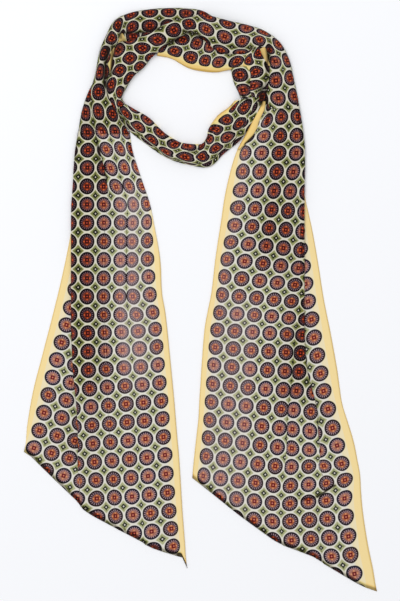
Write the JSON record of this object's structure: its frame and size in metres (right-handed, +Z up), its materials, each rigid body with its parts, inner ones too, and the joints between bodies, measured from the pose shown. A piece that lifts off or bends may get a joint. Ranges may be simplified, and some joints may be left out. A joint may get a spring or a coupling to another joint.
{
  "type": "skinny scarf",
  "caption": "Long narrow printed scarf with slanted ends, laid flat, its middle wound into a ring and its two tails lying side by side.",
  "frame": {"origin": "centre of the box round the laid scarf, on the surface that it lies on", "axes": "+Y from the ends of the tails towards the ring, +Z up off the surface, +X towards the longer tail's side"},
  "size_m": [0.3076, 0.5138, 0.0107],
  "materials": {
    "cloth_left_tail": "printed twill, soft sheen",
    "cloth_outer_left_wrap": "printed twill, soft sheen",
    "cloth_inner_back_wrap": "printed twill, soft sheen",
    "cloth_front_wrap": "printed twill, soft sheen",
    "cloth_inner_left_wrap": "printed twill, soft sheen",
    "cloth_outer_right_wrap": "printed twill, soft sheen",
    "cloth_right_tail": "printed twill, soft sheen"
  },
  "bodies": {
    "root": {"left_tail": "cloth_left_tail", "outer_left_wrap": "cloth_outer_left_wrap", "inner_back_wrap": "cloth_inner_back_wrap", "front_wrap": "cloth_front_wrap", "inner_left_wrap": "cloth_inner_left_wrap", "outer_right_wrap": "cloth_outer_right_wrap", "right_tail": "cloth_right_tail"}
  },
  "joints": []
}
